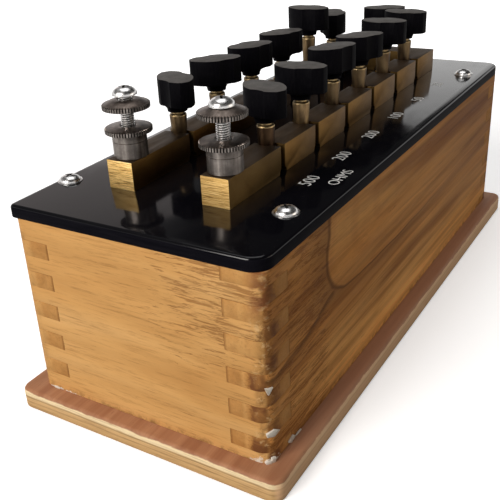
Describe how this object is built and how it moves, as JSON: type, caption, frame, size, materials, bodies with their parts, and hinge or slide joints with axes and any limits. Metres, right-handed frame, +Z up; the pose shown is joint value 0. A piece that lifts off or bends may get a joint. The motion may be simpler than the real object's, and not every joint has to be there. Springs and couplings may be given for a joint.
{
  "type": "plug resistance box",
  "caption": "Plug resistance box: finger-jointed wooden case on a plywood base, black panel with rows of brass blocks bridged by tapered plugs, and knurled wire terminals.",
  "frame": {"origin": "middle of the base board's underside", "axes": "+X along the length, with the terminals at the -X end; the numbered edge is the -Y side; +Z up"},
  "size_m": [0.2674, 0.115, 0.1229],
  "materials": {
    "plywood": "worn clear varnish, bare layered edge",
    "end_wood": "clear varnish, satin",
    "side_wood": "clear varnish, satin",
    "panel_black": "polished black moulded sheet",
    "plated_screw": "bright plated steel",
    "plated_nut": "dulled nickel plate",
    "brass_block": "sawn and dulled brass",
    "brass_pin": "turned brass",
    "brass_screw": "turned brass",
    "handle_black": "black moulding, dull",
    "bobbin_wood": "turned wood",
    "winding_wire": "lacquered wire",
    "lead_wire": "bare copper wire"
  },
  "bodies": {
    "case": {"base_board": "plywood", "front_wall": "end_wood", "rear_wall": "end_wood", "left_wall": "side_wood", "right_wall": "side_wood", "panel": "panel_black", "panel_screws": "plated_screw", "block_screws": "brass_screw", "coil_bobbins": "bobbin_wood", "coil_windings": "winding_wire", "coil_leads": "lead_wire", "bobbin_screws": "brass_screw", "right_block_1": "brass_block", "right_block_2": "brass_block", "right_block_3": "brass_block", "right_block_4": "brass_block", "right_block_5": "brass_block", "right_block_6": "brass_block", "right_block_7": "brass_block", "left_block_1": "brass_block", "left_block_2": "brass_block", "left_block_3": "brass_block", "left_block_4": "brass_block", "left_block_5": "brass_block", "left_block_6": "brass_block", "left_block_7": "brass_block", "right_terminal_screw": "plated_screw", "left_terminal_screw": "plated_screw"},
    "right_plug_1": {"right_plug_1_pin": "brass_pin", "right_plug_1_handle": "handle_black"},
    "right_plug_2": {"right_plug_2_pin": "brass_pin", "right_plug_2_handle": "handle_black"},
    "right_plug_3": {"right_plug_3_pin": "brass_pin", "right_plug_3_handle": "handle_black"},
    "right_plug_4": {"right_plug_4_pin": "brass_pin", "right_plug_4_handle": "handle_black"},
    "right_plug_5": {"right_plug_5_pin": "brass_pin", "right_plug_5_handle": "handle_black"},
    "right_plug_6": {"right_plug_6_pin": "brass_pin", "right_plug_6_handle": "handle_black"},
    "left_plug_1": {"left_plug_1_pin": "brass_pin", "left_plug_1_handle": "handle_black"},
    "left_plug_2": {"left_plug_2_pin": "brass_pin", "left_plug_2_handle": "handle_black"},
    "left_plug_3": {"left_plug_3_pin": "brass_pin", "left_plug_3_handle": "handle_black"},
    "left_plug_4": {"left_plug_4_pin": "brass_pin", "left_plug_4_handle": "handle_black"},
    "left_plug_5": {"left_plug_5_pin": "brass_pin", "left_plug_5_handle": "handle_black"},
    "left_plug_6": {"left_plug_6_pin": "brass_pin", "left_plug_6_handle": "handle_black"},
    "end_plug": {"end_plug_pin": "brass_pin", "end_plug_handle": "handle_black"},
    "right_lower_nut": {"right_lower_nut": "plated_nut"},
    "right_upper_nut": {"right_upper_nut": "plated_nut"},
    "left_lower_nut": {"left_lower_nut": "plated_nut"},
    "left_upper_nut": {"left_upper_nut": "plated_nut"}
  },
  "joints": [
    {"name": "right_plug_1_lift", "type": "slide", "parent": "case", "child": "right_plug_1", "axis": [0, 0, 1], "range_m": [0, 0.012]},
    {"name": "right_plug_2_lift", "type": "slide", "parent": "case", "child": "right_plug_2", "axis": [0, 0, 1], "range_m": [-0.001, 0.011]},
    {"name": "right_plug_3_lift", "type": "slide", "parent": "case", "child": "right_plug_3", "axis": [0, 0, 1], "range_m": [-0.0024, 0.0096]},
    {"name": "right_plug_4_lift", "type": "slide", "parent": "case", "child": "right_plug_4", "axis": [0, 0, 1], "range_m": [-0.0015, 0.0105]},
    {"name": "right_plug_5_lift", "type": "slide", "parent": "case", "child": "right_plug_5", "axis": [0, 0, 1], "range_m": [-0.0026, 0.0094]},
    {"name": "right_plug_6_lift", "type": "slide", "parent": "case", "child": "right_plug_6", "axis": [0, 0, 1], "range_m": [-0.002, 0.01]},
    {"name": "left_plug_1_lift", "type": "slide", "parent": "case", "child": "left_plug_1", "axis": [0, 0, 1], "range_m": [0, 0.012]},
    {"name": "left_plug_2_lift", "type": "slide", "parent": "case", "child": "left_plug_2", "axis": [0, 0, 1], "range_m": [-0.001, 0.011]},
    {"name": "left_plug_3_lift", "type": "slide", "parent": "case", "child": "left_plug_3", "axis": [0, 0, 1], "range_m": [-0.0007, 0.0113]},
    {"name": "left_plug_4_lift", "type": "slide", "parent": "case", "child": "left_plug_4", "axis": [0, 0, 1], "range_m": [-0.0008, 0.0112]},
    {"name": "left_plug_5_lift", "type": "slide", "parent": "case", "child": "left_plug_5", "axis": [0, 0, 1], "range_m": [-0.007, 0.005]},
    {"name": "left_plug_6_lift", "type": "slide", "parent": "case", "child": "left_plug_6", "axis": [0, 0, 1], "range_m": [0, 0.012]},
    {"name": "end_plug_lift", "type": "slide", "parent": "case", "child": "end_plug", "axis": [0, 0, 1], "range_m": [0, 0.012]},
    {"name": "right_lower_nut_travel", "type": "slide", "parent": "case", "child": "right_lower_nut", "axis": [0, 0, 1], "range_m": [0, 0.003]},
    {"name": "right_upper_nut_travel", "type": "slide", "parent": "case", "child": "right_upper_nut", "axis": [0, 0, 1], "range_m": [-0.0037, 0]},
    {"name": "left_lower_nut_travel", "type": "slide", "parent": "case", "child": "left_lower_nut", "axis": [0, 0, 1], "range_m": [0, 0.002]},
    {"name": "left_upper_nut_travel", "type": "slide", "parent": "case", "child": "left_upper_nut", "axis": [0, 0, 1], "range_m": [-0.0024, 0.0013]}
  ]
}
